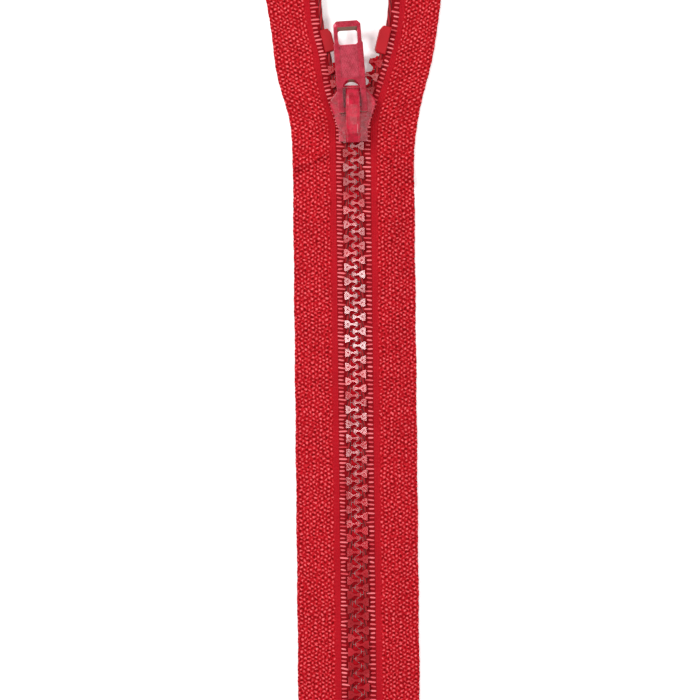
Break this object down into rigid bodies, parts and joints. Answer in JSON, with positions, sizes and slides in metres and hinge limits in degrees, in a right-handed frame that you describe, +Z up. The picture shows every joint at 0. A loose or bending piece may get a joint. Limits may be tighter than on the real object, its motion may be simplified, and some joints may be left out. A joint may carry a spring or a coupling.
{
  "type": "open-end zipper",
  "caption": "Open-end zipper with moulded plastic teeth, a locking slider with a flat pull tab, and a retainer box at the bottom end.",
  "frame": {"origin": "on the ground under the middle of the zipper: halfway along its length and on the chain's centre line", "axes": "+Y along the chain towards the open top end, +X to the right seen from the face with the pull tab, +Z up out of that face"},
  "size_m": [0.0508, 0.25, 0.0094],
  "materials": {
    "tape_weave": "woven polyester",
    "edge_cord": "twisted cord",
    "binding_thread": "bright thread",
    "teeth": "moulded, glossy",
    "top_stop": "moulded, glossy",
    "slider_paint": "baked enamel",
    "pull_paint": "baked enamel",
    "lock_steel": "stamped",
    "pin_plastic": "moulded",
    "box_plastic": "moulded",
    "film": "clear laminate"
  },
  "bodies": {
    "box_end": {"retainer_box": "box_plastic", "retaining_pin": "pin_plastic", "left_tape_end": "tape_weave", "left_front_film": "film", "left_back_film": "film"},
    "pin_end": {"insertion_pin": "pin_plastic", "right_tape_end": "tape_weave", "right_front_film": "film", "right_back_film": "film"},
    "left_stringer": {"left_tape": "tape_weave", "left_edge_cord": "edge_cord", "left_binding_stitches": "binding_thread", "left_teeth": "teeth", "left_top_stop": "top_stop"},
    "right_stringer": {"right_tape": "tape_weave", "right_edge_cord": "edge_cord", "right_binding_stitches": "binding_thread", "right_teeth": "teeth", "right_top_stop": "top_stop"},
    "slider": {"slider_body": "slider_paint", "slider_crown": "slider_paint"},
    "pull_tab": {"pull_tab": "pull_paint"},
    "lock": {"lock_lever": "lock_steel", "lock_spring": "lock_steel"}
  },
  "joints": [
    {"name": "slider_travel", "type": "slide", "parent": "box_end", "child": "slider", "axis": [0, 1, 0], "range_m": [-0.18665, 0], "deforming": ["left_tape", "left_edge_cord", "left_binding_stitches", "left_teeth", "right_tape", "right_edge_cord", "right_binding_stitches", "right_teeth"]},
    {"name": "left_parting", "type": "hinge", "parent": "box_end", "child": "left_stringer", "pos_m": [-0.002, -0.1085, 0.00265], "axis": [0, 0, 1], "range_deg": [0, 12.01]},
    {"name": "pin_withdrawal", "type": "slide", "parent": "box_end", "child": "pin_end", "axis": [0, -1, 0], "range_m": [-0.0077, 0]},
    {"name": "right_parting", "type": "hinge", "parent": "pin_end", "child": "right_stringer", "pos_m": [0.002, -0.1085, 0.00265], "axis": [0, 0, -1], "range_deg": [0, 12.01]},
    {"name": "pull_tab_swing", "type": "hinge", "parent": "slider", "child": "pull_tab", "pos_m": [0, 0.0827, 0.0066], "axis": [1, 0, 0], "range_deg": [0, 150]},
    {"name": "lock_lift", "type": "slide", "parent": "slider", "child": "lock", "axis": [0, 0, 1], "range_m": [0, 0.000501], "deforming": ["lock_spring"]}
  ],
  "couplings": [
    {"joint": "left_parting", "follows": "slider_travel", "rad_per_m": -1.1221},
    {"joint": "right_parting", "follows": "slider_travel", "rad_per_m": -1.1221},
    {"joint": "lock_lift", "follows": "pull_tab_swing", "m_per_rad": 0.00019099}
  ]
}
